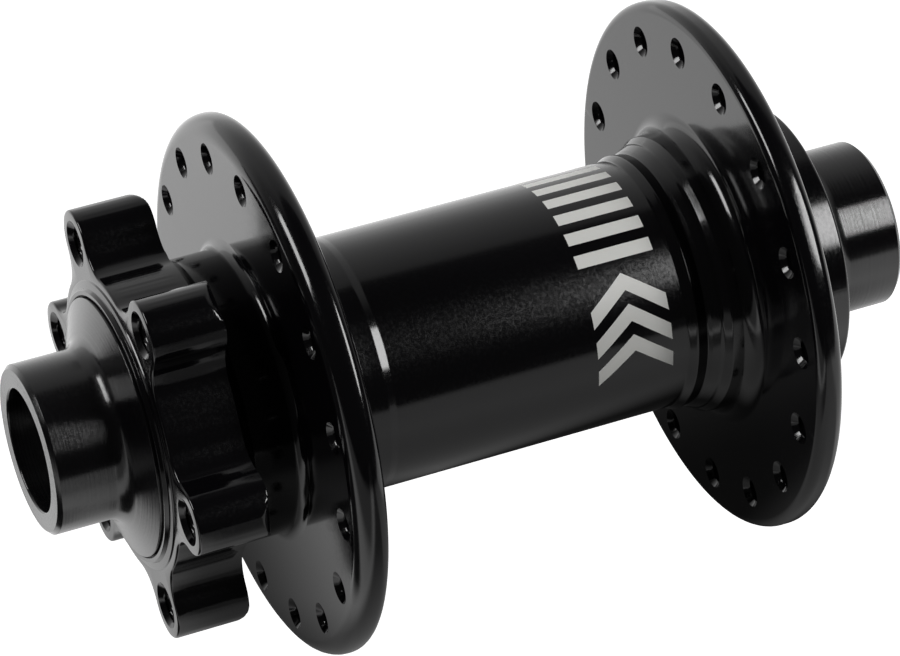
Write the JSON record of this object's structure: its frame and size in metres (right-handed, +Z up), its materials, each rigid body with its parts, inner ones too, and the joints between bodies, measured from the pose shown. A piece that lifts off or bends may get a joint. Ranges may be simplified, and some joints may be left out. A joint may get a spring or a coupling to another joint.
{
  "type": "bicycle front hub",
  "caption": "Front bicycle hub for a disc brake and thru-axle: one-piece shell with two spoke flanges and a lobed rotor mount, turning on sealed bearings, with push-on end caps.",
  "frame": {"origin": "middle of the axle, halfway between the two end-cap faces, on the axle's centre line", "axes": "+Y along the axle towards the disc side, which is the bicycle's left; +Z up; +X to complete a right-handed frame"},
  "size_m": [0.0666, 0.11, 0.0666],
  "materials": {
    "anodised_black": "black anodised, satin to gloss, with fine turning marks",
    "machined_aluminium": "bare turned aluminium",
    "bearing_steel": "ground and polished bearing steel",
    "cage_nylon": "moulded nylon",
    "seal_rubber": "moulded nitrile rubber"
  },
  "bodies": {
    "axle_assembly": {"axle": "machined_aluminium", "left_inner_ring": "bearing_steel", "right_inner_ring": "bearing_steel"},
    "hub_shell": {"hub_shell": "anodised_black", "left_outer_ring": "bearing_steel", "left_outer_seal": "seal_rubber", "left_inner_seal": "seal_rubber", "right_outer_ring": "bearing_steel", "right_outer_seal": "seal_rubber", "right_inner_seal": "seal_rubber"},
    "left_ball_set": {"left_ball_cage": "cage_nylon", "left_ball_01": "bearing_steel", "left_ball_02": "bearing_steel", "left_ball_03": "bearing_steel", "left_ball_04": "bearing_steel", "left_ball_05": "bearing_steel", "left_ball_06": "bearing_steel", "left_ball_07": "bearing_steel", "left_ball_08": "bearing_steel", "left_ball_09": "bearing_steel", "left_ball_10": "bearing_steel", "left_ball_11": "bearing_steel"},
    "right_ball_set": {"right_ball_cage": "cage_nylon", "right_ball_01": "bearing_steel", "right_ball_02": "bearing_steel", "right_ball_03": "bearing_steel", "right_ball_04": "bearing_steel", "right_ball_05": "bearing_steel", "right_ball_06": "bearing_steel", "right_ball_07": "bearing_steel", "right_ball_08": "bearing_steel", "right_ball_09": "bearing_steel", "right_ball_10": "bearing_steel", "right_ball_11": "bearing_steel"},
    "left_end_cap": {"left_end_cap": "anodised_black", "left_o_ring": "seal_rubber"},
    "right_end_cap": {"right_end_cap": "anodised_black", "right_o_ring": "seal_rubber"}
  },
  "joints": [
    {"name": "hub_spin", "type": "hinge", "parent": "axle_assembly", "child": "hub_shell", "pos_m": [0, 0, 0], "axis": [0, 1, 0], "continuous": true},
    {"name": "left_ball_orbit", "type": "hinge", "parent": "axle_assembly", "child": "left_ball_set", "pos_m": [0, 0, 0], "axis": [0, 1, 0], "continuous": true},
    {"name": "right_ball_orbit", "type": "hinge", "parent": "axle_assembly", "child": "right_ball_set", "pos_m": [0, 0, 0], "axis": [0, 1, 0], "continuous": true},
    {"name": "left_cap_pull", "type": "slide", "parent": "axle_assembly", "child": "left_end_cap", "axis": [0, 1, 0], "range_m": [0, 0.012]},
    {"name": "right_cap_pull", "type": "slide", "parent": "axle_assembly", "child": "right_end_cap", "axis": [0, -1, 0], "range_m": [0, 0.012]}
  ],
  "couplings": [
    {"joint": "left_ball_orbit", "follows": "hub_spin", "ratio": 0.5825},
    {"joint": "right_ball_orbit", "follows": "hub_spin", "ratio": 0.5825}
  ]
}
